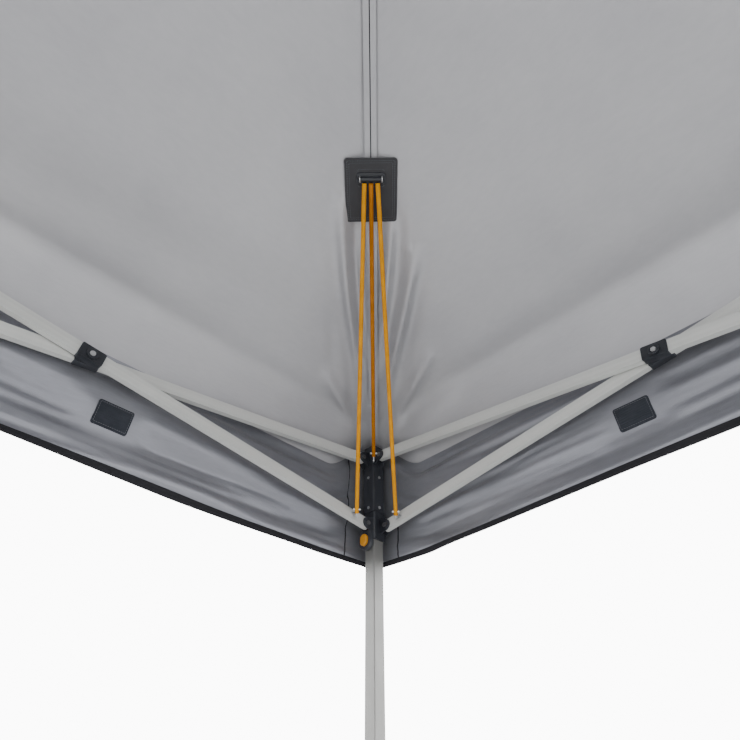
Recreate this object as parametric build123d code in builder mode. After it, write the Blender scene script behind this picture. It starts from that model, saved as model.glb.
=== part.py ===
"""Pop-up gazebo, 3 m by 3 m: a folding scissor frame on four telescopic legs, with a tent canopy.

Frame: origin on the ground under the middle of the gazebo, +Z up, the sides along X and Y.
Everything is drawn once, for the front side (outward -Y) and for the corner at its +X end,
and then turned about Z in quarter turns, because the frame has four-fold turning symmetry.
"""

import math
import os

from build123d import *

os.makedirs("parts", exist_ok=True)

# ---------------------------------------------------------------- driving dimensions (mm)
leg_centre = 1465.0  # leg axis from the middle of the gazebo, along X and along Y
half_width = 1500.0  # outside of the canopy
corner_reach = 36.0  # leg axis to the pins of the bars on it
node_reach = 34.0  # centre of a mid-side joint to its pins
hub_reach = 36.0  # centre of the hub to its pins
top_pin_z = 2100.0  # height of the upper pins
pin_drop = 185.0  # upper pins to lower pins, with the frame open
eave_z = 2158.0
peak_z = 2680.0
valance_drop = 320.0  # eave to hem

bar_height, bar_thickness, bar_wall = 25.0, 12.0, 0.8
bar_offset = 8.0  # each bar of a crossing pair stands this far from their common plane
pin_radius = 3.0
turning_clearance = 0.1  # radial, in a bore that turns on its pin
open_clearance = 0.3  # radial, at a pivot where the linkage closes on itself
side_gap = 0.5  # bar to cheek

leg_size, leg_wall, leg_foot_z = 30.0, 1.2, 560.0
inner_leg_size, inner_leg_top_z = 26.0, 900.0
foot_size, foot_thickness, peg_spacing, peg_hole_radius = 70.0, 4.0, 50.0, 4.5
bracket_size, bracket_bottom_drop, bracket_top_rise = 36.0, 146.0, 37.0
slider_size, slider_below, slider_above, slider_gap = 40.0, 32.0, 36.0, 0.3
block_size, block_height = 36.0, 40.0
mast_radius, mast_wall, mast_bottom_z, mast_top_z = 12.5, 1.2, 2040.0, 2642.0
fabric = 1.5
eye_distance = 82.0  # leg axis to the screw eye on a lower bar
patch_distance, patch_width, patch_length = 663.0, 102.0, 128.0
cord_radius, cord_spacing = 4.5, 13.0
pad_from_middle, pad_width, pad_height, pad_above_hem = 817.0, 76.0, 48.0, 96.0  # on the valance

# ---------------------------------------------------------------- derived sizes
low_pin_z = top_pin_z - pin_drop
hem_z = eave_z - valance_drop
side_y = -leg_centre  # the common plane of the front side's bars
node_x = node_reach
leg_pin_x = leg_centre - corner_reach
bar_length = math.hypot(leg_pin_x - node_x, pin_drop)
cheek = 3.0
cheek_offset = bar_thickness / 2 + side_gap + cheek / 2
roof_slope = (peak_z - eave_z) / half_width
SIDES = ("front", "right", "back", "left")
CORNERS = ("front_right", "back_right", "back_left", "front_left")


def save(name, *solids):
    """Writes one named piece, made of one or more solids, as one STEP file."""
    piece = solids[0] if len(solids) == 1 else Compound(children=list(solids))
    piece.label = name
    export_step(piece, f"parts/{name}.step")


def turned(solid, quarter):
    return solid.rotate(Axis.Z, 90 * quarter)


# ---------------------------------------------------------------- bars
def bar_plane(start, end, outward):
    """Middle of the bar: x along it, z away from the bar that it crosses."""
    a, b = Vector(*start), Vector(*end)
    return Plane(origin=(a + b) / 2, x_dir=b - a, z_dir=outward)


def bar_tube(plane, bores):
    """Rectangular tube with rounded ends; bores are the radii at its start, middle and end."""
    with BuildPart() as tube:
        with BuildSketch(plane):
            SlotCenterToCenter(bar_length, bar_height)
        extrude(amount=bar_thickness / 2, both=True)
        with BuildSketch(plane):
            Rectangle(bar_length + 2 * bar_height, bar_height - 2 * bar_wall)
        extrude(amount=bar_thickness / 2 - bar_wall, both=True, mode=Mode.SUBTRACT)
        for along, radius in zip((-bar_length / 2, 0, bar_length / 2), bores):
            with BuildSketch(plane):
                with Locations((along, 0)):
                    Circle(radius)
            extrude(amount=bar_thickness, both=True, mode=Mode.SUBTRACT)
    return tube.part


def pivot_clip(plane, bore):
    """Moulded sleeve round the middle of a bar, with a round boss on its outer face."""
    length, wall, outer_wall, inner_wall = 48.0, 2.0, 2.0, 1.7
    with BuildPart() as clip:
        with BuildSketch(plane.offset(-bar_thickness / 2 - inner_wall)) as outline:
            Rectangle(length, bar_height + 2 * wall)
            fillet(outline.vertices(), 3)
        extrude(amount=bar_thickness + inner_wall + outer_wall)
        with BuildSketch(plane.offset(bar_thickness / 2 + outer_wall)):
            Circle(11)
        extrude(amount=3)
        with BuildSketch(plane.offset(bar_thickness / 2 + outer_wall)):
            Circle(6.5)
        extrude(amount=3, mode=Mode.SUBTRACT)
        with BuildSketch(plane):
            Rectangle(2 * length, bar_height)
        extrude(amount=bar_thickness / 2, both=True, mode=Mode.SUBTRACT)
        with BuildSketch(plane):
            Circle(bore)
        extrude(amount=2 * bar_thickness, both=True, mode=Mode.SUBTRACT)
    return clip.part


def pivot_bolt(plane):
    """Bolt and nut through both bars; it turns with the bar that its head is on."""
    head_seat = bar_thickness / 2 + 2.0
    nut_seat = -2 * bar_offset - bar_thickness / 2 - 2.0 - 0.3
    with BuildPart() as bolt:
        with BuildSketch(plane.offset(nut_seat)):
            Circle(pin_radius)
        extrude(amount=head_seat - nut_seat)
        with BuildSketch(plane.offset(head_seat)):
            Circle(5.5)
        extrude(amount=2.8)
        with BuildSketch(plane.offset(nut_seat)):
            RegularPolygon(5.5, 6)
        extrude(amount=-2.8)
    return bolt.part


def screw_eye(start, end, outward, inward_sign):
    """Screw with a ring on a lower bar's inner face, near its leg end."""
    a, b = Vector(*start), Vector(*end)
    along = (b - a).normalized()
    seat = b - along * (eye_distance - corner_reach) + Vector(*outward) * (inward_sign * bar_thickness / 2)
    face = Plane(origin=seat, x_dir=along, z_dir=Vector(*outward) * inward_sign)
    with BuildPart() as eye:
        with BuildSketch(face):
            Circle(4.5)
        extrude(amount=1.5)
        with BuildSketch(face):
            Circle(1.8)
        extrude(amount=6)
        with BuildSketch(Plane(origin=face.origin + face.z_dir * 6, x_dir=face.z_dir, z_dir=along)):
            with Locations((4.5, 0)):
                Circle(6)
                Circle(3.8, mode=Mode.SUBTRACT)
        extrude(amount=1.1, both=True)
    return eye.part


def scissor_bar(start, end, outward, carries_bolt, open_end=False):
    """The solids of one bar: tube, clip, and on half of the bars the pivot bolt."""
    plane = bar_plane(start, end, outward)
    middle = pin_radius if carries_bolt else pin_radius + turning_clearance
    loose = pin_radius + turning_clearance
    far = pin_radius + (open_clearance if open_end else turning_clearance)
    solids = [bar_tube(plane, (loose, middle, far)), pivot_clip(plane, middle)]
    if carries_bolt:
        solids.append(pivot_bolt(plane))
    return solids


def truss_pair(open_at_hub):
    """The two bars from the front mid-side joints to the hub, as lists of solids."""
    hub_y, node_y = -hub_reach, side_y + node_reach
    from_hub = scissor_bar(
        (bar_offset, hub_y, top_pin_z), (bar_offset, node_y, low_pin_z), (1, 0, 0), True
    )
    to_hub = scissor_bar(
        (-bar_offset, node_y, top_pin_z), (-bar_offset, hub_y, low_pin_z), (-1, 0, 0), False, open_at_hub
    )
    return from_hub, to_hub


def side_pair(direction):
    """The crossing pair of the front side from its middle towards +X (1) or -X (-1).

    At the +X end the bar to the leg top is the inner one, and at the -X end it is the outer one.
    """
    to_slider_y, to_top_y = side_y - direction * bar_offset, side_y + direction * bar_offset
    near, far = direction * node_x, direction * leg_pin_x
    start, end = (near, to_slider_y, top_pin_z), (far, to_slider_y, low_pin_z)
    outward = (0, -direction, 0)
    open_end = direction < 0
    to_slider = scissor_bar(start, end, outward, True, open_end)
    to_slider.append(screw_eye(start, end, outward, -direction))
    to_top = scissor_bar(
        (near, to_top_y, low_pin_z), (far, to_top_y, top_pin_z), (0, direction, 0), False, open_end
    )
    return to_slider, to_top


# ---------------------------------------------------------------- clevises and joints
def clevis(origin, toward, across, lug_radius, reach, root_height):
    """Two cheeks from a joint's body to a pin. origin is the body's centre line in the bar's
    plane, toward points at the pin, and across is the pin's direction."""
    face = Plane(origin=origin, x_dir=toward, z_dir=across)
    with BuildPart() as cheeks:
        for offset in (-cheek_offset, cheek_offset):
            with BuildSketch(face.offset(offset)):
                with Locations((reach, 0)):
                    Circle(lug_radius)
                with Locations((block_size / 4, 0)):
                    Rectangle(block_size / 2, root_height)
                make_hull()
            extrude(amount=cheek / 2, both=True)
        with BuildSketch(face):
            with Locations((reach, 0)):
                Circle(pin_radius)
        extrude(amount=2 * bar_thickness, both=True, mode=Mode.SUBTRACT)
    return cheeks.part


def clevis_pin(origin, toward, across, reach):
    """The pin of one clevis, with a round head and a hexagon nut."""
    face = Plane(origin=origin, x_dir=toward, z_dir=across)
    outer = cheek_offset + cheek / 2
    with BuildPart() as pin:
        with BuildSketch(face):
            with Locations((reach, 0)):
                Circle(pin_radius)
        extrude(amount=outer, both=True)
        with BuildSketch(face.offset(outer)):
            with Locations((reach, 0)):
                Circle(5.5)
        extrude(amount=2.5)
        with BuildSketch(face.offset(-outer)):
            with Locations((reach, 0)):
                RegularPolygon(5.5, 6)
        extrude(amount=-2.5)
    return pin.part


def joint_piece(body, lugs, clear_bores=()):
    """A moulded body with its clevises joined on, and its pins as separate solids.

    lugs is a list of (origin, toward, across, lug_radius, reach, root_height).
    """
    with BuildPart() as moulding:
        add(body)
        for lug in lugs:
            add(clevis(*lug))
        for bore in clear_bores:
            add(bore, mode=Mode.SUBTRACT)
    return [moulding.part] + [clevis_pin(o, t, a, reach) for o, t, a, _, reach, _ in lugs]


def mid_side_joint(pin_z, upper):
    """Joint in the middle of the front side: two bars along the side and one towards the hub."""
    with BuildPart() as body:
        with BuildSketch(Plane.XY.offset(pin_z - block_height / 2)) as outline:
            with Locations((0, side_y)):
                Rectangle(block_size - 1, block_size - 1)
            fillet(outline.vertices(), 4)
        extrude(amount=block_height)
    left_y, right_y = (bar_offset, -bar_offset) if upper else (-bar_offset, bar_offset)
    hub_x = -bar_offset if upper else bar_offset
    lugs = [
        ((0, side_y + left_y, pin_z), (-1, 0, 0), (0, 1, 0), 12, node_reach, 32),
        ((0, side_y + right_y, pin_z), (1, 0, 0), (0, 1, 0), 12, node_reach, 32),
        ((hub_x, side_y, pin_z), (0, 1, 0), (1, 0, 0), 12, node_reach, 32),
    ]
    return joint_piece(body.part, lugs)


def hub(pin_z, x_offset, bottom, top, mast_bore):
    """Centre hub with four clevises, and a bore for the mast in the upper one."""
    with BuildPart() as body:
        with BuildSketch(Plane.XY.offset(bottom)) as outline:
            Rectangle(block_size - 1, block_size - 1)
            fillet(outline.vertices(), 4)
        extrude(amount=top - bottom)
    lugs = []
    for quarter in range(4):
        turn = Axis.Z
        toward = Vector(0, -1, 0).rotate(turn, 90 * quarter)
        across = Vector(1, 0, 0).rotate(turn, 90 * quarter)
        origin = across * x_offset + Vector(0, 0, pin_z)
        lugs.append((origin, toward, across, 12, hub_reach, 32))
    bores = []
    if mast_bore:
        with BuildPart() as bore:
            with BuildSketch(Plane.XY.offset(bottom - 1)):
                Circle(mast_bore)
            extrude(amount=top - bottom + 2)
        bores = [bore.part]
    return joint_piece(body.part, lugs, bores)


# ---------------------------------------------------------------- legs
def square_tube(size, wall, bottom, top):
    with BuildPart() as tube:
        with BuildSketch(Plane.XY.offset(bottom)) as outline:
            with Locations((leg_centre, side_y)):
                Rectangle(size, size)
            fillet(outline.vertices(), 2.5)
            with Locations((leg_centre, side_y)):
                Rectangle(size - 2 * wall, size - 2 * wall, mode=Mode.SUBTRACT)
        extrude(amount=top - bottom)
    return tube.part


def lower_leg():
    """Inner tube on a square steel foot with four peg holes."""
    with BuildPart() as leg:
        with BuildSketch(Plane.XY) as outline:
            with Locations((leg_centre, side_y)):
                Rectangle(foot_size, foot_size)
            fillet(outline.vertices(), 8)
            with Locations((leg_centre, side_y)):
                with GridLocations(peg_spacing, peg_spacing, 2, 2):
                    Circle(peg_hole_radius, mode=Mode.SUBTRACT)
        extrude(amount=foot_thickness)
        add(square_tube(inner_leg_size, leg_wall, foot_thickness, inner_leg_top_z))
    return leg.part


def corner_lugs(pin_z, inner_first, lug_radius, root_height):
    """Clevises on a leg: one along the front side, one along the right side."""
    first = bar_offset if inner_first else -bar_offset
    return [
        ((leg_centre, side_y + first, pin_z), (-1, 0, 0), (0, 1, 0), lug_radius, corner_reach, root_height),
        ((leg_centre + first, side_y, pin_z), (0, 1, 0), (1, 0, 0), lug_radius, corner_reach, root_height),
    ]


def sleeve(size, bore, bottom, top, corner):
    with BuildPart() as part:
        with BuildSketch(Plane.XY.offset(bottom)) as outline:
            with Locations((leg_centre, side_y)):
                Rectangle(size, size)
            fillet(outline.vertices(), corner)
            with Locations((leg_centre, side_y)):
                Rectangle(bore, bore, mode=Mode.SUBTRACT)
        extrude(amount=top - bottom)
    return part.part


def leg_space(size, bottom, top):
    with BuildPart() as space:
        with BuildSketch(Plane.XY.offset(bottom)):
            with Locations((leg_centre, side_y)):
                Rectangle(size, size)
        extrude(amount=top - bottom)
    return space.part


def top_bracket():
    """Long moulded cap of a leg: a sleeve with screws, a lid and two clevises."""
    bottom, top, lid = top_pin_z - bracket_bottom_drop, top_pin_z + bracket_top_rise, 5.0
    with BuildPart() as body:
        add(sleeve(bracket_size, leg_size, bottom, top, 4))
        add(leg_space(bracket_size - 2, top - lid, top))
    lugs = corner_lugs(top_pin_z, True, 12.5, 46)
    solids = joint_piece(body.part, lugs, [leg_space(leg_size, bottom - 1, top - lid)])
    half = bracket_size / 2
    for drop in (52.0, 134.0):
        for face in (
            Plane(origin=(leg_centre - half, side_y, top_pin_z - drop), x_dir=(0, 1, 0), z_dir=(-1, 0, 0)),
            Plane(origin=(leg_centre, side_y + half, top_pin_z - drop), x_dir=(1, 0, 0), z_dir=(0, 1, 0)),
        ):
            with BuildPart() as screw:
                with BuildSketch(face):
                    Circle(3.6)
                extrude(amount=1.8)
                with BuildSketch(face.offset(1.8)):
                    RegularPolygon(1.8, 6)
                extrude(amount=-1.2, mode=Mode.SUBTRACT)
            solids.append(screw.part)
    eye_z = top_pin_z - 14
    turn = Plane(
        origin=(leg_centre - half + 2, side_y + half - 2, eye_z), x_dir=(0, 0, 1), z_dir=(-1, 1, 0)
    )
    with BuildPart() as hook:
        with BuildSketch(turn):
            Circle(2)
        extrude(amount=7)
        with BuildSketch(Plane(origin=turn.origin + turn.z_dir * 7, x_dir=turn.z_dir, z_dir=(1, 1, 0))):
            with Locations((4.5, 0)):
                Circle(6)
                Circle(3.8, mode=Mode.SUBTRACT)
        extrude(amount=1.1, both=True)
        add(body.part, mode=Mode.SUBTRACT)
    solids.append(hook.part)
    return solids


ear_top, ear_bottom, ear_half_width, ear_depth = -14.0, -57.0, 18.0, 11.0
button_width, button_height, button_drop = 21.0, 28.0, -36.0


def latch_face():
    """The slider's face on the right side: x across, y up, z away from the leg."""
    return Plane(
        origin=(leg_centre, side_y + slider_size / 2, low_pin_z), x_dir=(-1, 0, 0), z_dir=(0, 1, 0)
    )


def slider():
    """Moulding that slides on the leg, with two clevises and the housing of its thumb latch."""
    bottom, top = low_pin_z - slider_below, low_pin_z + slider_above
    bore = leg_size + 2 * slider_gap
    with BuildPart() as body:
        add(sleeve(slider_size, bore, bottom, top, 5))
        with BuildSketch(latch_face()):
            with Locations((0, (ear_top + ear_bottom + ear_half_width) / 2)):
                Rectangle(2 * ear_half_width, ear_top - ear_bottom - ear_half_width)
            with Locations((0, ear_bottom + ear_half_width)):
                Circle(ear_half_width)
        extrude(amount=ear_depth)
        with BuildSketch(latch_face().offset(1.5)):
            with Locations((0, button_drop)):
                SlotOverall(button_height + 1, button_width + 1, rotation=90)
        extrude(amount=ear_depth, mode=Mode.SUBTRACT)
    lugs = corner_lugs(low_pin_z, False, 14, 40)
    return joint_piece(body.part, lugs, [leg_space(bore, ear_bottom + low_pin_z - 1, top + 30)])


def latch_button():
    with BuildPart() as button:
        with BuildSketch(latch_face().offset(6)):
            with Locations((0, button_drop)):
                SlotOverall(button_height, button_width, rotation=90)
        extrude(amount=ear_depth)
        chamfer(button.faces().sort_by(Axis.Y)[-1].edges(), 2)
    return button.part


# ---------------------------------------------------------------- mast
def mast():
    with BuildPart() as tube:
        with BuildSketch(Plane.XY.offset(mast_bottom_z)):
            Circle(mast_radius)
            Circle(mast_radius - mast_wall, mode=Mode.SUBTRACT)
        extrude(amount=mast_top_z - mast_bottom_z)
    return tube.part


def mast_cap():
    """Low dome that the peak of the canopy rests on."""
    with BuildPart() as cap:
        with BuildSketch(Plane.XZ):
            with BuildLine():
                outline = Polyline(
                    (6, mast_top_z + 19), (0, mast_top_z + 19), (0, mast_top_z - 25), (11, mast_top_z - 25),
                    (11, mast_top_z), (30, mast_top_z), (30, mast_top_z + 4),
                )
                ThreePointArc(outline @ 1, (19, mast_top_z + 14.5), outline @ 0)
            make_face()
        revolve(axis=Axis.Z)
    return cap.part


# ---------------------------------------------------------------- canopy
def roof_panel():
    slope = Plane(origin=(0, -half_width, eave_z), x_dir=(1, 0, 0), z_dir=(0, -roof_slope, 1))
    with BuildPart() as panel:
        with BuildSketch(slope):
            with BuildLine():
                Polyline(
                    (-half_width, 0), (half_width, 0), (0, math.hypot(half_width, peak_z - eave_z)), close=True
                )
            make_face()
        extrude(amount=fabric, dir=(0, 0, -1))
    return panel.part


def valance_panel():
    inner = half_width - fabric
    with BuildPart() as panel:
        with BuildSketch(Plane.XY.offset(hem_z)):
            with BuildLine():
                Polyline(
                    (-half_width, -half_width), (half_width, -half_width), (inner, -inner), (-inner, -inner),
                    close=True,
                )
            make_face()
        extrude(amount=valance_drop - fabric)
    return panel.part


def hip_plane():
    """Underside of the front right hip where the patch is sewn: x along the hip, z down."""
    along = Vector(-half_width, half_width, peak_z - eave_z).normalized()
    across = Vector(1, 1, 0).normalized()
    down = across.cross(along)
    down = down if down.Z < 0 else down * -1
    at = leg_centre - patch_distance / math.sqrt(2)
    hip_z = eave_z + (half_width - at) * roof_slope - fabric
    return Plane(origin=Vector(at, -at, hip_z) + down * 16, x_dir=along, z_dir=down)


def hip_patch():
    """Stitched patch under a hip, with the buckle that the three cords start from."""
    plane = hip_plane()
    with BuildPart() as patch:
        with BuildSketch(plane) as outline:
            Rectangle(patch_length, patch_width)
            fillet(outline.vertices(), 5)
        extrude(amount=2)
    with BuildPart() as buckle:
        with BuildSketch(plane.offset(2)):
            with Locations((patch_length * 0.2, 0)):
                RectangleRounded(16, 2 * cord_spacing + 20, 6)
        extrude(amount=5)
    return [patch.part, buckle.part]


def cord_ends():
    """Upper and lower ends of the three cords of the front right corner."""
    plane = hip_plane()
    tops = [
        plane.from_local_coords(Vector(patch_length * 0.2 - 8, spread, 9))
        for spread in (-cord_spacing, 0, cord_spacing)
    ]
    rise = (eye_distance - corner_reach) * pin_drop / (leg_pin_x - node_x)
    eye_z = low_pin_z + rise + 8
    stand_off = 13.0
    front_eye = Vector(leg_centre - eye_distance, side_y - bar_offset + bar_thickness / 2 + stand_off, eye_z)
    right_eye = Vector(leg_centre - bar_offset - bar_thickness / 2 - stand_off, side_y + eye_distance, eye_z)
    reach = bracket_size / 2 + 12
    middle = Vector(leg_centre - reach, side_y + reach, top_pin_z - 8)
    tops.sort(key=lambda point: point.Y)
    return list(zip(tops, (front_eye, middle, right_eye)))


def bungee_cord(top, bottom):
    with BuildPart() as cord:
        with BuildSketch(Plane(origin=top, z_dir=bottom - top)):
            Circle(cord_radius)
        extrude(amount=(bottom - top).length)
    return cord.part


def valance_pads():
    """Hook-and-loop pads on the inside of the front valance, one beside each crossing."""
    solids = []
    for direction in (-1, 1):
        at = (direction * pad_from_middle, -half_width + fabric, hem_z + pad_above_hem)
        face = Plane(origin=at, x_dir=(1, 0, 0), z_dir=(0, 1, 0))
        with BuildPart() as pad:
            with BuildSketch(face):
                RectangleRounded(pad_width, pad_height, 3)
            extrude(amount=1.5)
        solids.append(pad.part)
    return solids


# ---------------------------------------------------------------- the pieces
for quarter, side in enumerate(SIDES):
    from_hub, to_hub = truss_pair(open_at_hub=quarter > 0)
    save(f"{side}_truss_bar_from_hub", *(turned(s, quarter) for s in from_hub))
    save(f"{side}_truss_bar_to_hub", *(turned(s, quarter) for s in to_hub))
    for direction, hand in ((1, "a"), (-1, "b")):
        to_slider, to_top = side_pair(direction)
        save(f"{side}_bar_to_slider_{hand}", *(turned(s, quarter) for s in to_slider))
        save(f"{side}_bar_to_leg_top_{hand}", *(turned(s, quarter) for s in to_top))
    save(f"{side}_upper_mid_joint", *(turned(s, quarter) for s in mid_side_joint(top_pin_z, True)))
    save(f"{side}_lower_mid_joint", *(turned(s, quarter) for s in mid_side_joint(low_pin_z, False)))

for quarter, corner in enumerate(CORNERS):
    save(f"{corner}_leg_tube", turned(square_tube(leg_size, leg_wall, leg_foot_z, 2131.0), quarter))
    save(f"{corner}_lower_leg", turned(lower_leg(), quarter))
    save(f"{corner}_top_bracket", *(turned(s, quarter) for s in top_bracket()))
    save(f"{corner}_slider", *(turned(s, quarter) for s in slider()))
    save(f"{corner}_latch_button", turned(latch_button(), quarter))

save("upper_hub", *hub(top_pin_z, bar_offset, top_pin_z - 28, top_pin_z + 35, mast_radius + 0.1))
save("lower_hub", *hub(low_pin_z, -bar_offset, low_pin_z - 20, low_pin_z + 20, 0))
save("mast", mast())
save("mast_cap", mast_cap())
save(
    "canopy",
    *(turned(roof_panel(), quarter) for quarter in range(4)),
    *(turned(valance_panel(), quarter) for quarter in range(4)),
)
save("hip_patches", *(turned(s, quarter) for quarter in range(4) for s in hip_patch()))
save("valance_pads", *(turned(s, quarter) for quarter in range(4) for s in valance_pads()))
save(
    "bungee_cords",
    *(turned(bungee_cord(*ends), quarter) for quarter in range(4) for ends in cord_ends()),
)

for name, (top, bottom) in zip(("front", "middle", "right"), cord_ends()):
    print("cord", name, [round(v, 1) for v in (*top, *bottom)], round((bottom - top).length, 1))
print("bar length", round(bar_length, 2), "hem", hem_z)
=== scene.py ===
"""Looks of the pop-up gazebo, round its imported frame: fabric, bungee cords, trim and finishes.

Lengths are metres, +Z is up, and the origin is on the ground under the middle of the gazebo.
Every side and corner is drawn once, for the front side and the corner at its +X end, and is then
turned about Z in quarter turns.
"""

import math

import bmesh
import bpy
import numpy as np
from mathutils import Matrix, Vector, noise


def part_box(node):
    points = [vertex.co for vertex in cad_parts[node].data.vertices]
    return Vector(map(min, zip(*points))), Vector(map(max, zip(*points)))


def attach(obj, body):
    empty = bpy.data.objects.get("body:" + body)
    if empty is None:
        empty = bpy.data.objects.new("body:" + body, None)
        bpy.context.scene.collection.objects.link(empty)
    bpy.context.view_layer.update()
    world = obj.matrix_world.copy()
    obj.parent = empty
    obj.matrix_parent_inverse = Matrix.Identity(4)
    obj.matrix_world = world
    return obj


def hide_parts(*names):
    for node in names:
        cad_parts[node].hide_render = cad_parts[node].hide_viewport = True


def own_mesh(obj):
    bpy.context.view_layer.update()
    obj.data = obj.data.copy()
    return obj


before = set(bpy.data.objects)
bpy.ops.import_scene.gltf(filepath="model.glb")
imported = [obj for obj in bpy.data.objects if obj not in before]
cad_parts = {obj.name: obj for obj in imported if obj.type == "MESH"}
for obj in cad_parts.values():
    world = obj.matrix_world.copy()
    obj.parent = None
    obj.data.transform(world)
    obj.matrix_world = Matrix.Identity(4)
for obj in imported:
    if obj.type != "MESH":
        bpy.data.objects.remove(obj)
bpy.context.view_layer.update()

# ---------------------------------------------------------------- places and sizes, from the frame
SIDES = ("front", "right", "back", "left")
CORNERS = ("front_right", "back_right", "back_left", "front_left")
canopy_low, canopy_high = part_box("canopy")
half_width, hem_z, peak_z = canopy_high.x, canopy_low.z, canopy_high.z
valance_height = 0.320
eave_z = hem_z + valance_height
leg_low, leg_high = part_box("front_right_leg_tube")
leg_axis = (leg_low.x + leg_high.x) / 2
pin_reach = 0.036  # from a leg's axis to the pins of the bars on it
low_pin_z, top_pin_z = 1.915, 2.100
slope = (peak_z - eave_z) / half_width
cloth_thickness = 0.0012
corner_angle = math.radians(50)  # edges sharper than this are not smoothed

scene = bpy.context.scene


def quarter_turn(points, quarter):
    """Points of the front side, as an array, turned to another side."""
    points = np.asarray(points, float)
    x, y, z = points[..., 0], points[..., 1], points[..., 2]
    for _ in range(quarter):
        x, y = -y, x
    return np.stack([x, y, z], -1)


def turned(vector, quarter):
    """One vector of the front side, turned to another side."""
    return Vector(quarter_turn([tuple(vector)], quarter)[0])


# ---------------------------------------------------------------- camera
camera_place = Vector((0.4918, 0.4833, 1.2530))
camera_heading, camera_rise = math.radians(45.65), math.radians(39.85)
focal_share = 0.8502


def add_camera():
    data = bpy.data.cameras.new("camera")
    data.sensor_width = 36.0
    data.lens = focal_share * data.sensor_width
    data.clip_start, data.clip_end = 0.01, 100.0
    camera = bpy.data.objects.new("camera", data)
    camera.location = camera_place
    camera.rotation_euler = (math.pi / 2 + camera_rise, 0.0, camera_heading - math.pi / 2)
    scene.collection.objects.link(camera)
    scene.camera = camera


# ---------------------------------------------------------------- mesh helpers
def new_object(name, vertices, faces, materials, face_materials=None, smooth=True):
    """A mesh object in the scene; face_materials is an index into materials for each face."""
    mesh = bpy.data.meshes.new(name)
    places = [tuple(v) for v in np.asarray(vertices, float)]
    mesh.from_pydata(places, [], [list(map(int, face)) for face in faces])
    for material in materials:
        mesh.materials.append(material)
    if face_materials is not None:
        mesh.polygons.foreach_set("material_index", list(face_materials))
    mesh.polygons.foreach_set("use_smooth", [smooth] * len(mesh.polygons))
    mesh.validate()
    mesh.update()
    if smooth:
        mesh.set_sharp_from_angle(angle=corner_angle)
    piece = bpy.data.objects.new(name, mesh)
    scene.collection.objects.link(piece)
    return piece


def grid_faces(rows, columns, offset=0, flip=False):
    """Triangles of a grid of rows by columns points, numbered row by row. Both faces of a sheet are
    cut along the same diagonals, so they never cross."""
    faces = []
    for r in range(rows - 1):
        for c in range(columns - 1):
            a = offset + r * columns + c
            for face in ((a, a + 1, a + columns + 1), (a, a + columns + 1, a + columns)):
                faces.append(face[::-1] if flip else face)
    return faces


def grid_rim(rows, columns):
    """Indices of the points round the edge of a grid, in order."""
    top = list(range(columns))
    right = [r * columns + columns - 1 for r in range(1, rows)]
    bottom = [(rows - 1) * columns + c for c in range(columns - 2, -1, -1)]
    left = [r * columns for r in range(rows - 2, 0, -1)]
    return top + right + bottom + left


def grid_normals(points):
    """Unit normal at each point of a grid."""
    across = np.gradient(points, axis=1)
    along = np.gradient(points, axis=0)
    normal = np.cross(across, along)
    length = np.linalg.norm(normal, axis=-1, keepdims=True)
    return normal / np.where(length < 1e-12, 1, length)


def cloth_piece(name, points, inward, thickness, outside, inside, merge=False):
    """A thin closed sheet. points is the outer face, as rows by columns; inward is the unit vector
    from the outer face to the inner one; outside and inside are their materials."""
    rows, columns = points.shape[:2]
    outer = points.reshape(-1, 3)
    inward = np.broadcast_to(inward, points.shape)
    inner = outer + inward.reshape(-1, 3) * thickness
    count = rows * columns
    flip = float((grid_normals(points) * inward).sum()) > 0
    faces = grid_faces(rows, columns, 0, flip)
    marks = [0] * len(faces) + [1] * len(faces)
    faces += grid_faces(rows, columns, count, not flip)
    rim = grid_rim(rows, columns)
    for a, b in zip(rim, rim[1:] + rim[:1]):
        quad = (a, a + count, b + count, b)
        faces.append(quad[::-1] if flip else quad)
        marks.append(0)
    piece = new_object(name, np.concatenate([outer, inner]), faces, [outside, inside], marks)
    if merge:
        tidy_mesh(piece)
    return piece


def tidy_mesh(piece):
    """Welds the points that lie together and drops the faces that they leave flat."""
    shape = bmesh.new()
    shape.from_mesh(piece.data)
    bmesh.ops.remove_doubles(shape, verts=shape.verts, dist=2e-5)
    bmesh.ops.dissolve_degenerate(shape, edges=shape.edges, dist=1e-6)
    shape.to_mesh(piece.data)
    shape.free()


def join_shapes(shapes):
    """One list of vertices and faces out of several."""
    vertices, faces, count = [], [], 0
    for points, polygons in shapes:
        points = np.asarray(points, float)
        vertices.append(points)
        faces += [[i + count for i in polygon] for polygon in polygons]
        count += len(points)
    return np.concatenate(vertices), faces


def tube_shape(path, radius, sides=16, ripple=None):
    """Closed tube along a list of points; ripple(angle, distance) scales the radius."""
    path = np.asarray(path, float)
    step = np.gradient(path, axis=0)
    step /= np.linalg.norm(step, axis=1, keepdims=True)
    side = np.cross(step[0], (0.0, 0.0, 1.0))
    if np.linalg.norm(side) < 1e-3:
        side = np.array((1.0, 0.0, 0.0))
    distance = np.concatenate([[0], np.cumsum(np.linalg.norm(np.diff(path, axis=0), axis=1))])
    angles = np.linspace(0, 2 * math.pi, sides, endpoint=False)
    vertices = []
    for point, along, far in zip(path, step, distance):
        side = side - along * (side @ along)
        side /= np.linalg.norm(side)
        other = np.cross(along, side)
        size = radius * (ripple(angles, far) if ripple else np.ones(sides))
        spokes = np.cos(angles)[:, None] * side + np.sin(angles)[:, None] * other
        vertices.append(point + size[:, None] * spokes)
    count = len(path)
    faces = []
    for r in range(count - 1):
        for s in range(sides):
            a, b = r * sides + s, r * sides + (s + 1) % sides
            faces.append((a, b, b + sides, a + sides))
    faces.append(list(range(sides))[::-1])
    faces.append([(count - 1) * sides + s for s in range(sides)])
    return np.concatenate(vertices), faces


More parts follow.
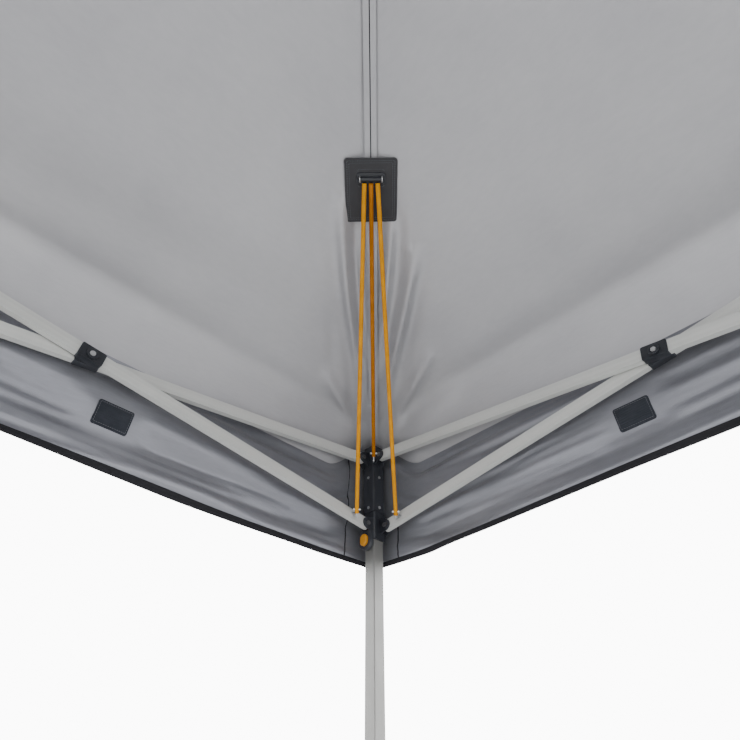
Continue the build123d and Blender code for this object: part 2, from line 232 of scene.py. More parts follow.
def ring_shape(centre, axis, radius, wire, turn=1.0, start=None, steps=36):
    """A ring of wire, or part of one, in the plane across axis."""
    axis = Vector(axis).normalized()
    start = Vector(start) if start is not None else axis.orthogonal()
    start = (start - axis * start.dot(axis)).normalized()
    other = axis.cross(start)
    last = steps if turn < 1 else steps - 1
    path = [
        Vector(centre) + radius * (math.cos(a) * start + math.sin(a) * other)
        for a in (2 * math.pi * turn * i / steps for i in range(last + 1))
    ]
    if turn >= 1:
        path.append(path[0])
    return tube_shape([tuple(p) for p in path], wire, 12)


def slab_shape(centre, along, across, length, width, corner, low, high, bevel, steps=6):
    """A slab with rounded corners and a bevelled upper edge; low and high are heights on the
    normal, the cross product of along and across."""
    along, across = Vector(along).normalized(), Vector(across).normalized()
    normal = along.cross(across)
    outline = []
    for quadrant in range(4):
        cx = (length / 2 - corner) * (1 if quadrant in (0, 3) else -1)
        cy = (width / 2 - corner) * (1 if quadrant in (0, 1) else -1)
        for i in range(steps + 1):
            angle = math.pi / 2 * (quadrant + i / steps)
            outline.append((cx, cy, math.cos(angle), math.sin(angle)))
    levels = [(low, 0.0), (high - bevel, 0.0), (high - bevel * 0.3, bevel * 0.3), (high, bevel)]
    vertices = []
    for height, inset in levels:
        for cx, cy, dx, dy in outline:
            reach = max(corner - inset, 1e-4)
            flat_place = Vector(centre) + along * (cx + dx * reach) + across * (cy + dy * reach)
            vertices.append(tuple(flat_place + normal * height))
    count = len(outline)
    faces = [list(range(count))[::-1], [3 * count + i for i in range(count)]]
    for level in range(3):
        for i in range(count):
            a, b = level * count + i, level * count + (i + 1) % count
            faces.append((a, b, b + count, a + count))
    return np.array(vertices), faces


# ---------------------------------------------------------------- materials
def new_material(name, colour, roughness, metallic=0.0):
    """A material and its shader node."""
    material = bpy.data.materials.new(name)
    material.use_nodes = True
    shader = material.node_tree.nodes["Principled BSDF"]
    shader.inputs["Base Color"].default_value = (*colour, 1.0)
    shader.inputs["Roughness"].default_value = roughness
    shader.inputs["Metallic"].default_value = metallic
    return material, shader


def node(tree, kind, **values):
    """A new node; values are for its sockets, or for its settings."""
    made = tree.nodes.new(kind)
    for key, value in values.items():
        if key in made.inputs:
            made.inputs[key].default_value = value
        else:
            setattr(made, key, value)
    return made


def make_group(name, inputs, outputs):
    """An empty shader node group with named float, colour and vector sockets."""
    group = bpy.data.node_groups.new(name, "ShaderNodeTree")
    for label, kind, value in inputs:
        socket = group.interface.new_socket(label, in_out="INPUT", socket_type=kind)
        if value is not None:
            socket.default_value = value
    for label, kind in outputs:
        group.interface.new_socket(label, in_out="OUTPUT", socket_type=kind)
    return group, group.nodes.new("NodeGroupInput"), group.nodes.new("NodeGroupOutput")


def feed(tree, sockets, values):
    """Gives each socket its value, which is a number, a colour or another socket."""
    for socket, value in zip(sockets, values):
        if isinstance(value, bpy.types.NodeSocket):
            tree.links.new(value, socket)
        else:
            socket.default_value = value


def mix_colour(tree, factor, first, second):
    mixer = tree.nodes.new("ShaderNodeMix")
    mixer.data_type = "RGBA"
    feed(tree, (mixer.inputs[0], mixer.inputs[6], mixer.inputs[7]), (factor, first, second))
    return mixer.outputs[2]


def maths(tree, operation, first, second=0.0, clamp=False):
    made = tree.nodes.new("ShaderNodeMath")
    made.operation = operation
    made.use_clamp = clamp
    feed(tree, made.inputs, (first, second))
    return made.outputs[0]


def product(tree, first, second):
    return maths(tree, "MULTIPLY", first, second)


def total(tree, first, second, clamp=False):
    return maths(tree, "ADD", first, second, clamp)


def varied(tree, value, variation, amount):
    """A value that wanders up and down with a variation from 0 to 1."""
    return total(tree, value, product(tree, maths(tree, "SUBTRACT", variation, 0.5), amount))


def stretch_range(tree, value, low, high):
    """A value from low to high, spread over 0 to 1."""
    made = tree.nodes.new("ShaderNodeMapRange")
    made.inputs["From Min"].default_value, made.inputs["From Max"].default_value = low, high
    tree.links.new(value, made.inputs["Value"])
    return made.outputs["Result"]


finish_outputs = [
    ("Colour", "NodeSocketColor"), ("Roughness", "NodeSocketFloat"), ("Height", "NodeSocketFloat")
]


def weave_group():
    """Plain weave of fine yarns with a little cloudiness: colour, roughness and height."""
    group, enter, leave = make_group(
        "weave",
        [
            ("Colour", "NodeSocketColor", (0.5, 0.5, 0.5, 1)),
            ("Shade", "NodeSocketColor", (0.4, 0.4, 0.4, 1)),
            ("Yarns per metre", "NodeSocketFloat", 900.0),
            ("Cloud scale", "NodeSocketFloat", 3.0),
            ("Roughness", "NodeSocketFloat", 0.5),
        ],
        finish_outputs,
    )
    place = group.nodes.new("ShaderNodeTexCoord")
    clouds = node(group, "ShaderNodeTexNoise", Detail=5.0, Roughness=0.55)
    group.links.new(place.outputs["Object"], clouds.inputs["Vector"])
    group.links.new(enter.outputs["Cloud scale"], clouds.inputs["Scale"])
    slubs = node(group, "ShaderNodeTexNoise", Detail=3.0, Roughness=0.6)
    stretch = node(group, "ShaderNodeMapping", Scale=(40.0, 40.0, 260.0))
    group.links.new(place.outputs["Object"], stretch.inputs["Vector"])
    group.links.new(stretch.outputs["Vector"], slubs.inputs["Vector"])
    slubs.inputs["Scale"].default_value = 1.0
    yarns = []
    split = group.nodes.new("ShaderNodeSeparateXYZ")
    group.links.new(place.outputs["Object"], split.inputs[0])
    for axis in ("X", "Y", "Z"):
        scaled = product(group, split.outputs[axis], enter.outputs["Yarns per metre"])
        yarns.append(maths(group, "SINE", product(group, scaled, 6.2832)))
    pattern = total(group, product(group, yarns[0], yarns[2]), product(group, yarns[1], yarns[2]))
    cloudy, slubby = clouds.outputs["Fac"], slubs.outputs["Fac"]
    shade = total(group, product(group, cloudy, 0.7), product(group, slubby, 0.3))
    paler = stretch_range(group, shade, 0.35, 0.65)
    colour = mix_colour(group, paler, enter.outputs["Shade"], enter.outputs["Colour"])
    group.links.new(colour, leave.inputs["Colour"])
    rough = varied(group, enter.outputs["Roughness"], slubby, 0.12)
    group.links.new(rough, leave.inputs["Roughness"])
    group.links.new(total(group, product(group, pattern, 0.25), slubby), leave.inputs["Height"])
    return group


def speckle_group():
    """Moulded or coated grain: fine speckle, soft smudges and paler worn patches."""
    group, enter, leave = make_group(
        "coat_grain",
        [
            ("Colour", "NodeSocketColor", (0.5, 0.5, 0.5, 1)),
            ("Worn", "NodeSocketColor", (0.7, 0.7, 0.7, 1)),
            ("Grain scale", "NodeSocketFloat", 900.0),
            ("Wear", "NodeSocketFloat", 0.3),
            ("Roughness", "NodeSocketFloat", 0.5),
        ],
        finish_outputs,
    )
    place = group.nodes.new("ShaderNodeTexCoord")
    grain = node(group, "ShaderNodeTexNoise", Detail=2.0)
    smudge = node(group, "ShaderNodeTexNoise", Scale=14.0, Detail=6.0, Roughness=0.6)
    for noise_node in (grain, smudge):
        group.links.new(place.outputs["Object"], noise_node.inputs["Vector"])
    group.links.new(enter.outputs["Grain scale"], grain.inputs["Scale"])
    geometry = group.nodes.new("ShaderNodeNewGeometry")
    wear = enter.outputs["Wear"]
    edges = stretch_range(group, geometry.outputs["Pointiness"], 0.52, 0.62)
    patches = stretch_range(group, smudge.outputs["Fac"], 0.6, 0.72)
    worn_patches = product(group, product(group, patches, wear), 0.35)
    worn = total(group, product(group, edges, wear), worn_patches, True)
    speckle = product(group, grain.outputs["Fac"], 0.22)
    shade = mix_colour(group, speckle, enter.outputs["Colour"], (0.0, 0.0, 0.0, 1))
    group.links.new(mix_colour(group, worn, shade, enter.outputs["Worn"]), leave.inputs["Colour"])
    rough = varied(group, enter.outputs["Roughness"], smudge.outputs["Fac"], 0.2)
    group.links.new(rough, leave.inputs["Roughness"])
    group.links.new(grain.outputs["Fac"], leave.inputs["Height"])
    return group


weave, coat_grain = weave_group(), speckle_group()


def use_group(material, shader, group, bump_distance, bump_strength, **values):
    """Feeds a shader from a group; values are for the group's sockets."""
    tree = material.node_tree
    made = tree.nodes.new("ShaderNodeGroup")
    made.node_tree = group
    for key, value in values.items():
        made.inputs[key.replace("_", " ")].default_value = value
    bump = node(tree, "ShaderNodeBump", Distance=bump_distance, Strength=bump_strength)
    tree.links.new(made.outputs["Colour"], shader.inputs["Base Color"])
    tree.links.new(made.outputs["Roughness"], shader.inputs["Roughness"])
    tree.links.new(made.outputs["Height"], bump.inputs["Height"])
    tree.links.new(bump.outputs["Normal"], shader.inputs["Normal"])


def fabric(
    name, colour, shade, roughness, metallic=0.0, sheen=0.0, yarns=900.0, bump=0.0003, clouds=3.0
):
    """Woven cloth: colour and shade are the two ends of its cloudiness."""
    material, shader = new_material(name, colour, roughness, metallic)
    shader.inputs["Sheen Weight"].default_value = sheen
    shader.inputs["Specular IOR Level"].default_value = 0.5 if metallic else 0.2
    use_group(
        material, shader, weave, bump, 0.5, Colour=(*colour, 1), Shade=(*shade, 1),
        Roughness=roughness, Yarns_per_metre=yarns, Cloud_scale=clouds,
    )
    return material


def coated(name, colour, worn, roughness, wear, grain=900.0, metallic=0.0, bump=0.0002):
    """Moulded, painted or plated finish, paler where it is worn."""
    material, shader = new_material(name, colour, roughness, metallic)
    use_group(
        material, shader, coat_grain, bump, 0.35, Colour=(*colour, 1), Worn=(*worn, 1),
        Roughness=roughness, Wear=wear, Grain_scale=grain,
    )
    return material


silver_inside = fabric(
    "silver_coated_polyester", (0.42, 0.42, 0.435), (0.362, 0.362, 0.382), 0.44, 0.45, 0.15
)
# The valance's inner face is the roof's silver-coated cloth, with its colour painted darker as painted
# shade for the dimmer light on the upright valances; the corner strips use it too.
valance_inside_painted_shade = fabric("silver_valance_painted_shade", (0.225, 0.23, 0.255), (0.18, 0.185, 0.21), 0.32, 0.6, 0.1)
charcoal_outside = fabric(
    "charcoal_polyester", (0.018, 0.020, 0.025), (0.012, 0.014, 0.018), 0.8, 0.0, 0.0
)
binding_tape = fabric(
    "hem_binding", (0.012, 0.012, 0.015), (0.008, 0.008, 0.010), 0.85, 0.0, 0.03, 500.0
)
seam_tape = fabric(
    "silver_seam_tape", (0.43, 0.43, 0.445), (0.36, 0.36, 0.38), 0.5, 0.35, 0.1, 700.0
)
patch_cloth = fabric(
    "patch_webbing", (0.042, 0.042, 0.045), (0.030, 0.030, 0.033), 0.8, 0.0, 0.08, 420.0, 0.0006
)
loop_pile = fabric(
    "loop_pile", (0.027, 0.030, 0.038), (0.017, 0.020, 0.026), 0.95, 0.0, 0.06, 260.0, 0.001, 30.0
)
stitch_thread = fabric(
    "stitch_thread", (0.075, 0.08, 0.095), (0.05, 0.052, 0.06), 0.6, 0.0, 0.2, 1500.0
)
amber_braid = fabric(
    "amber_braid", (0.60, 0.255, 0.0), (0.47, 0.19, 0.0), 0.85, 0.0, 0.0, 600.0, 0.0005, 40.0
)
# The middle cord is the same amber braid as the other two, painted darker and browner as painted shade
# for the shade it hangs in.
shaded_amber_braid = fabric(
    "amber_braid_painted_shade", (0.40, 0.140, 0.008), (0.31, 0.10, 0.004), 0.85, 0.0, 0.0, 600.0, 0.0005, 40.0
)
bar_coat = coated("grey_bar_coat", (0.49, 0.50, 0.485), (0.62, 0.62, 0.6), 0.42, 0.35, 1100.0, 0.1)
# The legs and the mast have the bars' grey coat, painted far darker here as painted shade to offset
# the strong light that reaches the legs from the bright horizon.
shaded_leg_coat = coated(
    "grey_leg_coat_painted_shade", (0.105, 0.105, 0.100), (0.17, 0.17, 0.165), 0.6, 0.3, 1100.0, 0.1
)
black_nylon = coated(
    "black_nylon", (0.010, 0.012, 0.017), (0.04, 0.044, 0.052), 0.48, 0.5, 1600.0, 0.0, 0.0003
)
amber_nylon = coated(
    "amber_nylon", (0.50, 0.20, 0.0), (0.60, 0.29, 0.01), 0.5, 0.2, 1600.0, 0.0, 0.0002
)
dark_zinc = coated(
    "dark_zinc_plate", (0.085, 0.088, 0.095), (0.3, 0.3, 0.3), 0.38, 0.4, 1300.0, 0.85, 0.0001
)
zinc = coated("zinc_plate", (0.55, 0.56, 0.57), (0.75, 0.75, 0.75), 0.32, 0.4, 1300.0, 0.95, 0.0001)


# ---------------------------------------------------------------- the roof's shape
patch_from_corner = 0.7267  # along the hip, from the eave corner to the middle of the patch
patch_length, patch_width, patch_drop = 0.128, 0.102, 0.016
hip_length = math.hypot(half_width * math.sqrt(2), peak_z - eave_z)
hip_plan = patch_from_corner * half_width * math.sqrt(2) / hip_length


# Folds that hang beside a hip below its patch: places along the hip from the eave corner, how far
# each is across the hip there, its depth, and its half width.
hanging_folds = (
    ((0.66, 0.040), (0.50, 0.030), (0.24, 0.008), 0.0170, 0.0120),
    ((0.60, 0.092), (0.40, 0.060), (0.13, 0.010), 0.0200, 0.0140),
    ((0.70, -0.060), (0.46, -0.050), (0.14, -0.010), 0.0170, 0.0140),
    ((0.63, -0.024), (0.47, -0.020), (0.28, -0.004), 0.0100, 0.0090),
    ((0.36, 0.135), (0.22, 0.085), (0.08, 0.034), 0.0120, 0.0140),
    ((0.29, 0.210), (0.17, 0.120), (0.08, 0.060), 0.0120, 0.0150),
    ((0.30, -0.115), (0.20, -0.075), (0.08, -0.034), 0.0110, 0.0140),
)


def fold_height(along, across):
    """Rise and fall of the hanging folds; along is from the eave corner, across is signed."""
    total = 0.0
    for (a0, c0), (a1, c1), (a2, c2), depth, half in hanging_folds:
        if not a2 < along < a0:
            continue
        share = (a0 - along) / (a0 - a2)
        bend = (a0 - a1) / (a0 - a2)
        middle = c0 + (c2 - c0) * share + (c1 - (c0 + (c2 - c0) * bend)) * 4 * share * (1 - share)
        away = (across - middle) / half
        if abs(away) < 4:
            fade = math.sin(math.pi * share**0.8) ** 0.7
            total += depth * fade * (0.22 * math.exp(-((away - 1.7) ** 2)) - math.exp(-(away**2)))
    return total


eave_drop = 0.098  # the cloth comes down over the bars, and its edge seam is below their top


def edge_drop(along_side):
    """How far the eave seam is below the roof's plane; it rises over the top bracket at a corner
    and over the upper mid joint."""
    share = min(1.0, max(0.0, (half_width - abs(along_side)) / 0.15 - 0.10))
    over_joint = 1 - 0.6 * math.exp(-((along_side / 0.16) ** 2))
    return eave_drop * over_joint * share * share * (3 - 2 * share)


def roof_height(x, y):
    """Height of the roof's outer face over the plan point (x, y)."""
    big, small = max(abs(x), abs(y)), min(abs(x), abs(y))
    run = big / half_width
    height = eave_z + (1 - run) * (peak_z - eave_z)
    hip_share = small / big if big > 1e-9 else 1.0
    rise = math.sin(math.pi * min(run, 1.0))
    height -= 0.022 * rise * (1 - hip_share**2)  # sag between the hips
    height -= edge_drop(small) * max(0.0, (run - 0.954) / 0.046) ** 1.7
    free = min(1.0, (1 - run) / 0.12) * min(1.0, run / 0.08)  # clear of the eave and of the peak
    height += 0.006 * free * noise.noise(Vector((x * 1.7, y * 1.7, 3.1)))
    height += 0.0022 * free * noise.noise(Vector((x * 6.0, y * 6.0, 7.7)))
    hand = 1 if x * y < 0 else -1
    sideways, seed = small * hand * 1.3, 5.0 if abs(y) > abs(x) else 9.0
    near_eave = max(0.0, 1 - (1 - run) / 0.32) * min(1.0, (1 - run) / 0.03)
    up = (1 - run) * 15.0 + 0.4 * sideways
    height += 0.012 * near_eave * noise.noise(Vector((sideways, up, seed)))
    along = half_width * math.sqrt(2) - (abs(x) + abs(y)) / math.sqrt(2)
    across = (abs(y) - abs(x)) / math.sqrt(2) * hand
    height += fold_height(along, across)
    crumple = math.exp(-((across / 0.09) ** 2)) * math.exp(-(((along - 0.38) / 0.26) ** 2))
    height += 0.0075 * crumple * noise.noise(Vector((across * 42.0, along * 5.0, 1.3)))
    pinch = max(0.0, 1 - abs(across) / 0.06)  # the cords pull the patch down
    near_patch = max(0.0, 1 - ((along - (half_width * math.sqrt(2) - hip_plan)) / 0.11) ** 2)
    height -= 0.011 * pinch * near_patch
    return height


# distances from the hip, close together beside it, where the folds are
hip_steps = [0.004 * i for i in range(41)]
while hip_steps[-1] < half_width:
    hip_steps.append(min(half_width, hip_steps[-1] * 1.055 + 0.002))


def roof_points(direction, rows=120):
    """Half of the front side's roof panel: rows from the eave up, columns from the middle out."""
    points = np.zeros((rows, len(hip_steps), 3))
    for r in range(rows):
        reach = half_width * (1 - r / (rows - 1))
        for c, step in enumerate(reversed(hip_steps)):
            x, y = direction * (reach - step * reach / half_width), -reach
            points[r, c] = (x, y, roof_height(x, y))
    return points


roof_normal_in = Vector((0, slope, -1)).normalized()


def side_pieces(direction):
    return "a" if direction > 0 else "b"


def squash_to_eave(piece):
    """Gives a piece of the roof its own copy of its mesh."""
    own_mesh(piece)


def add_roof(quarter, direction):
    """Half of one side of the roof, from the middle of the side to a hip."""
    hand = side_pieces(direction)
    points = quarter_turn(roof_points(direction), quarter)
    inward = turned(roof_normal_in, quarter)
    piece = cloth_piece(
        f"{SIDES[quarter]}_roof_{hand}", points, np.array(inward), cloth_thickness,
        charcoal_outside, silver_inside, merge=True,
    )
    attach(piece, f"{SIDES[quarter]}_bar_to_leg_top_{hand}")
    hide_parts("canopy")
    squash_to_eave(piece)


def hip_strip(name, corner, half, drop, thickness, material):
    """A narrow strip sewn under a hip."""
    offsets = (-half, -0.85 * half, -0.3 * half, 0.0, 0.3 * half, 0.85 * half, half)
    rows = 200
    points = np.zeros((rows, len(offsets), 3))
    for r in range(rows):
        share = 0.012 + 0.975 * r / (rows - 1)
        for c, offset in enumerate(offsets):
            along = half_width * (1 - share)
            x, y = along + offset / math.sqrt(2), -along + offset / math.sqrt(2)
            points[r, c] = (x, y, roof_height(x, y) - cloth_thickness * 1.08 - drop)
    piece = cloth_piece(
        f"{CORNERS[corner]}_{name}", quarter_turn(points, corner), np.array((0, 0, -1.0)),
        thickness, material, material,
    )
    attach(piece, f"{SIDES[corner]}_bar_to_leg_top_a")
    squash_to_eave(piece)
    return piece


def add_hip_tape(corner):
    """Folded tape sewn under a hip, with its dark row of stitches."""
    tape = hip_strip("hip_tape", corner, 0.0115, 0.0034, 0.0007, seam_tape)
    hip_strip("hip_seam", corner, 0.0009, 0.0043, 0.0005, binding_tape)


# ---------------------------------------------------------------- the valance's shape
bar_room = 0.009  # how far the cloth may go in towards the bars


def valance_push(quarter, x, z):
    """How far the front valance's cloth stands outward of its plane, at x along and height z."""
    top = eave_z - edge_drop(x)
    down = (top - z) / (top - hem_z)
    from_end = half_width - abs(x)
    held = min(1.0, from_end / 0.16) * min(1.0, down / 0.10)
    seed = 11.0 * quarter
    # a slow billow that is hollow above and flares to the hem, then ever finer folds along the side
    billow = 0.008 * noise.noise(Vector((x * 0.9, down * 1.4, seed))) + 0.009 * down**2
    billow -= 0.014 * math.sin(math.pi * min(1.0, down / 0.7))
    drift = 0.9 * x + 0.5 * noise.noise(Vector((x * 0.8, 0.0, seed + 2.0)))
    streaks = 0.0180 * noise.noise(Vector((x * 0.9, down * 3.3 + drift, seed + 4.0)))
    streaks += 0.0085 * noise.noise(Vector((x * 1.7, down * 8.0 - 0.8 * drift, seed + 6.0)))
    creases = 0.0036 * noise.noise(Vector((x * 3.0, down * 17.0 - 1.6 * drift, seed + 9.0)))
    # pulls and crinkles near the leg
    pull = 0.0042 * math.exp(-from_end / 0.30)
    wander = 2.0 * noise.noise(Vector((x * 3, down * 3, seed)))
    diagonal = pull * math.sin(19.0 * down + 14.0 * abs(x) + wander)
    crinkle = pull * noise.noise(Vector((x * 9.0, down * 16.0 + 5.0 * x, seed + 3.0)))
    # the cloth lies flat at a pad
    pad_side = ((abs(x) - pad_from_middle) / 0.07) ** 4
    pad_up = ((z - hem_z - pad_above_hem) / 0.055) ** 4
    loose = 1 - math.exp(-(pad_side + pad_up))
    push = 0.006 + billow + loose * (streaks + creases + diagonal + crinkle)
    return held * (push if push > 0 else bar_room * math.tanh(push / bar_room))


def valance_points(quarter, columns, rows):
    """The outer face of a valance, on the front side; rows from the hem up."""
    points = np.zeros((rows, columns, 3))
    for c in range(columns):
        x = -half_width + 2 * half_width * c / (columns - 1)
        top = eave_z - edge_drop(x)
        for r in range(rows):
            z = hem_z + (top - hem_z) * r / (rows - 1)
            points[r, c] = (x, -half_width - valance_push(quarter, x, z), z)
    return points


def add_to_valance(piece, quarter):
    """Hangs a piece on the upper mid joint of its side, and gives it its own copy of its mesh."""
    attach(piece, f"{SIDES[quarter]}_upper_mid_joint")
    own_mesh(piece)


def add_valance(quarter):
    """A valance, its hem binding, and the strip and seam at each of its ends."""
    side = SIDES[quarter]
    inward = np.array(turned((0, 1, 0), quarter))
    columns = 361
    sheet_points = quarter_turn(valance_points(quarter, columns, 49), quarter)
    valance = cloth_piece(
        f"{side}_valance", sheet_points, inward, cloth_thickness, charcoal_outside, valance_inside_painted_shade
    )
    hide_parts("canopy")
    add_to_valance(valance, quarter)

    binding_height, stand = 0.0100, 0.0012
    levels = (-stand, binding_height)
    points = np.zeros((len(levels), columns, 3))
    for r, level in enumerate(levels):
        for c in range(columns):
            x = -half_width + 2 * half_width * c / (columns - 1)
            z = hem_z + level
            points[r, c] = (x, -half_width - valance_push(quarter, x, max(z, hem_z)) - stand, z)
    hem = cloth_piece(
        f"{side}_hem_binding", quarter_turn(points, quarter), inward, cloth_thickness + 2 * stand,
        binding_tape, binding_tape,
    )
    add_to_valance(hem, quarter)

    for direction in (-1, 1):
        hand = side_pieces(direction)
        width, columns, rows = 0.071 if direction > 0 else 0.090, 13, 41
        points = np.zeros((rows, columns, 3))
        for r in range(rows):
            for c in range(columns):
                x = direction * (half_width - 0.003 - width * c / (columns - 1))
                z = hem_z + 0.010 + (eave_z - edge_drop(x) - hem_z - 0.014) * r / (rows - 1)
                inner_y = -half_width - valance_push(quarter, x, z) + cloth_thickness
                points[r, c] = (x, inner_y + 0.0003, z)
        strip = cloth_piece(
            f"{side}_corner_strip_{hand}", quarter_turn(points, quarter), inward, 0.0010,
            valance_inside_painted_shade, valance_inside_painted_shade,
        )
        add_to_valance(strip, quarter)
        edge = points[:, -2:].copy()
        edge[:, 0, 0] = edge[:, 1, 0] + direction * 0.0022
        edge[..., 1] += 0.0009
        seam = cloth_piece(
            f"{side}_strip_seam_{hand}", quarter_turn(edge, quarter), inward, 0.0007,
            binding_tape, binding_tape,
        )
        add_to_valance(seam, quarter)


pad_from_middle, pad_above_hem = 0.817, 0.096
pad_size = (0.070, 0.0455)
pad_thickness = 0.0030
stitch_pitch, stitch_thickness = 0.0042, 0.0005


def add_pads(quarter):
    """Hook-and-loop pads inside a valance, each with a sewn border."""
    for direction in (-1, 1):
        hand = side_pieces(direction)
        x0, z0 = direction * pad_from_middle, hem_z + pad_above_hem
        base = -half_width - valance_push(quarter, x0, z0) + cloth_thickness
        centre = turned((x0, base, z0), quarter)
        along, across = turned((0, 0, 1), quarter), turned((1, 0, 0), quarter)
        width, height = pad_size
        shape = slab_shape(
            centre, along, across, height, width, 0.004, 0.0, pad_thickness, 0.0008
        )
        pad = new_object(f"{SIDES[quarter]}_valance_pad_{hand}", *shape, [loop_pile])
        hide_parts("valance_pads")
        stitches = stitch_row(
            centre, along, across, height - 0.007, width - 0.007, pad_thickness, stitch_pitch
        )
        thread = new_object(f"{SIDES[quarter]}_pad_stitches_{hand}", *stitches, [stitch_thread])
        outward = turned((0, -1, 0), quarter)
        for piece in (pad, thread):
            for vertex in piece.data.vertices:
                sideways = vertex.co.dot(across)
                push = valance_push(quarter, sideways, vertex.co.z) - valance_push(quarter, x0, z0)
                vertex.co += outward * push
        add_to_valance(pad, quarter)
        add_to_valance(thread, quarter)


def stitch_row(centre, along, across, length, width, height, pitch):
    """Raised stitches round a rectangle, as one list of vertices and faces."""
    along, across = Vector(along).normalized(), Vector(across).normalized()
    normal = along.cross(across)
    corners = [(-1, -1), (1, -1), (1, 1), (-1, 1)]
    shapes = []
    for (ax, ay), (bx, by) in zip(corners, corners[1:] + corners[:1]):
        middle = Vector(centre)
        start = middle + along * (ax * length / 2) + across * (ay * width / 2) + normal * height
        end = middle + along * (bx * length / 2) + across * (by * width / 2) + normal * height
        count = max(2, int((end - start).length / pitch))
        for i in range(count):
            a = start.lerp(end, (i + 0.18) / count)
            b = start.lerp(end, (i + 0.82) / count)
            raised = a.lerp(b, 0.5) + normal * 0.0005
            sunk = normal * 0.0004
            path = [tuple(a - sunk), tuple(raised), tuple(b - sunk)]
            shapes.append(tube_shape(path, stitch_thickness, 6))
    return join_shapes(shapes)


# ---------------------------------------------------------------- hip patches and cords
hip_along = Vector((-half_width, half_width, peak_z - eave_z)).normalized()
hip_across = Vector((1, 1, 0)).normalized()
hip_down = hip_along.cross(hip_across)
hip_corner = Vector((half_width, -half_width, eave_z - 0.0015))
patch_centre = hip_corner + hip_along * patch_from_corner + hip_down * patch_drop
buckle_shift = patch_length * 0.2  # from the middle of the patch toward the peak


def gather(piece):
    """Gives a piece its own copy of its mesh."""
    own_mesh(piece)


def add_patch(corner):
    """The stitched patch under a hip and the buckle that the cords are tied to."""
    name = CORNERS[corner]
    patch_thickness, thread_pitch = 0.0022, 0.0045

    def placed(shape):
        return quarter_turn(shape[0], corner), shape[1]

    base = slab_shape(
        patch_centre, hip_along, hip_across, patch_length, patch_width, 0.006, -0.0008,
        patch_thickness, 0.0006,
    )
    patch = new_object(f"{name}_hip_patch", *placed(base), [patch_cloth])
    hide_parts("hip_patches")
    tab_centre = patch_centre + hip_along * buckle_shift
    rows = [(patch_centre, patch_length - 0.010, patch_width - 0.010)]
    rows.append((patch_centre, patch_length - 0.018, patch_width - 0.018))
    rows.append((tab_centre, 0.034, 0.050))
    stitches = join_shapes([
        stitch_row(centre, hip_along, hip_across, length, width, patch_thickness, thread_pitch)
        for centre, length, width in rows
    ])
    threads = new_object(f"{name}_patch_stitches", *placed(stitches), [stitch_thread])
    tab_top = 0.0052
    tab_shapes = [
        slab_shape(tab_centre, hip_along, hip_across, 0.022, 0.056, 0.006, 0.002, tab_top, 0.001)
    ]
    for side in (-1, 1):
        spot = tab_centre + hip_across * (side * 0.021) + hip_down * tab_top
        tab_shapes.append(ring_shape(spot, hip_down, 0.0042, 0.0014))
    tab = new_object(f"{name}_buckle_tab", *placed(join_shapes(tab_shapes)), [black_nylon])
    ring_centre = tab_centre + hip_down * 0.0085
    roller_path = [tuple(ring_centre + hip_across * s) for s in np.linspace(-0.0225, 0.0225, 9)]
    roller = tube_shape(roller_path, 0.0042, 16)
    rollers = new_object(f"{name}_buckle_roller", *placed(roller), [black_nylon])
    ends = [
        ring_shape(ring_centre + hip_across * side, hip_across, 0.0052, 0.0013, steps=28)
        for side in (-0.0215, 0.0215)
    ]
    fitting = new_object(f"{name}_buckle_rings", *placed(join_shapes(ends)), [zinc])
    for piece in (patch, threads, tab, rollers, fitting):
        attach(piece, f"{name}_leg")
        gather(piece)


cord_radius, cord_spacing = 0.0045, 0.013
eye_distance = 0.082  # from a leg's axis to the cord eye on a lower bar
bar_offset, eye_offset = 0.008, 0.019  # a bar from its side's plane, and the eye from the bar
bar_run = 1.395  # along a side, from pin to pin of a bar
eye_z = low_pin_z + (eye_distance - pin_reach) * (top_pin_z - low_pin_z) / bar_run - 0.001


def cord_routes():
    """The three cords of the front right corner: name and points from the buckle down."""
    front_eye = Vector((leg_axis - eye_distance, -leg_axis - bar_offset + eye_offset, eye_z))
    right_eye = Vector((leg_axis - bar_offset - eye_offset, -leg_axis + eye_distance, eye_z))
    bracket = Vector((leg_axis - 0.030, -leg_axis + 0.030, top_pin_z - 0.008))
    start = patch_centre + hip_along * (buckle_shift - 0.008) + hip_down * 0.009
    sag = Vector((0, 0, -0.003))
    ends = (("front", -1, front_eye), ("middle", 0, bracket), ("right", 1, right_eye))
    routes = []
    for label, spread, end in ends:
        top = start + hip_across * (spread * cord_spacing)
        upper, lower = top.lerp(end, 0.33) + sag, top.lerp(end, 0.66) + sag * 1.1
        routes.append((label, [top, upper, lower, end]))
    return routes


def smooth_line(points, steps=48):
    """Points on the NURBS curve of a route."""
    curve = bpy.data.curves.new("route", "CURVE")
    curve.dimensions = "3D"
    curve.resolution_u = steps
    spline = curve.splines.new("NURBS")
    spline.points.add(len(points) - 1)
    for made, point in zip(spline.points, points):
        made.co = (*point, 1.0)
    spline.order_u = 3
    spline.use_endpoint_u = True
    holder = bpy.data.objects.new("route", curve)
    scene.collection.objects.link(holder)
    bpy.context.view_layer.update()
    evaluated = holder.evaluated_get(bpy.context.evaluated_depsgraph_get())
    mesh = bpy.data.meshes.new_from_object(evaluated)
    line = np.array([v.co for v in mesh.vertices])
    bpy.data.objects.remove(holder)
    return line


def respaced(line, step):
    """A line's points at an even step, and its length."""
    far = np.concatenate([[0], np.cumsum(np.linalg.norm(np.diff(line, axis=0), axis=1))])
    places = np.linspace(0, far[-1], max(2, int(far[-1] / step) + 1))
    return np.stack([np.interp(places, far, line[:, k]) for k in range(3)], 1), float(far[-1])


def braid(angles, far):
    """Radius of a braided sheath, as a share: two crossing sets of strands."""
    lay, strands = 0.011, 4
    twist = far / lay * 2 * math.pi
    return 1.0 + 0.035 * np.sin(angles * strands + twist) * np.sin(angles * strands - twist)


